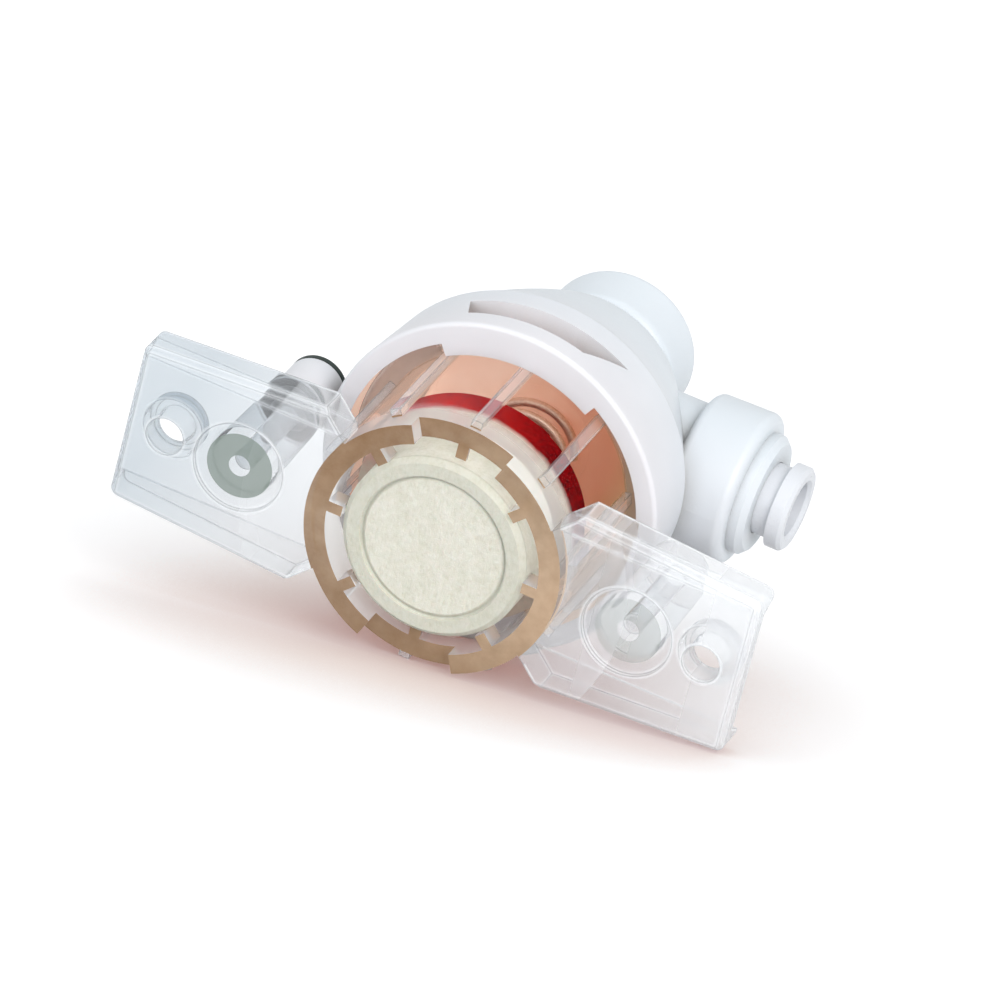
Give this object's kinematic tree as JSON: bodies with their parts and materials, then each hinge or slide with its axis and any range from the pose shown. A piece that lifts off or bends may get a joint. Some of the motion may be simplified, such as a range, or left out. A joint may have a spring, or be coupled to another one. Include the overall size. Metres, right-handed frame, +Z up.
{
  "type": "smart water valve",
  "caption": "Leak-sensing shut-off valve: clear winged floor base with a swelling tablet, red plunger, white valve body and push-in tube ports.",
  "frame": {"origin": "on the floor plane, on the valve axis, at the middle of the base", "axes": "+X along the wings to the side with the side port, +Z up the valve axis away from the floor"},
  "size_m": [0.075, 0.0399, 0.0614],
  "materials": {
    "clear_plastic": "clear, polished",
    "white_plastic": "moulded white, satin",
    "collet_plastic": "moulded white",
    "red_plastic": "moulded red",
    "tablet_board": "pressed fibre, matte",
    "dark_rubber": "matte",
    "green_black_rubber": "matte",
    "spring_steel": "bright"
  },
  "bodies": {
    "base": {"clear_base": "clear_plastic", "tablet": "tablet_board", "blanking_plug": "white_plastic", "plug_ring_near": "green_black_rubber", "plug_ring_far": "green_black_rubber"},
    "valve": {"valve_body": "white_plastic", "stem_gland": "white_plastic", "stem_seal": "dark_rubber", "gland_seal": "dark_rubber", "return_spring": "spring_steel", "side_cartridge": "white_plastic", "side_spacer": "collet_plastic", "side_tube_seal": "dark_rubber", "top_cartridge": "white_plastic", "top_spacer": "collet_plastic", "top_tube_seal": "dark_rubber"},
    "plunger": {"plunger": "red_plastic", "poppet_seal": "dark_rubber"},
    "side_collet": {"side_collet": "collet_plastic", "side_grab_ring": "spring_steel"},
    "top_collet": {"top_collet": "collet_plastic", "top_grab_ring": "spring_steel"}
  },
  "joints": [
    {"name": "bayonet_twist", "type": "hinge", "parent": "base", "child": "valve", "pos_m": [0, 0, 0.0162], "axis": [0, 0, 1], "range_deg": [0, 60]},
    {"name": "plunger_rise", "type": "slide", "parent": "valve", "child": "plunger", "axis": [0, 0, 1], "range_m": [0, 0.003], "stiffness_N_per_m": 800, "springref_m": -0.004, "deforming": ["return_spring"]},
    {"name": "side_collet_push", "type": "slide", "parent": "valve", "child": "side_collet", "axis": [-1, 0, 0], "range_m": [0, 0.0016]},
    {"name": "top_collet_push", "type": "slide", "parent": "valve", "child": "top_collet", "axis": [0, 0, -1], "range_m": [0, 0.0016]}
  ]
}
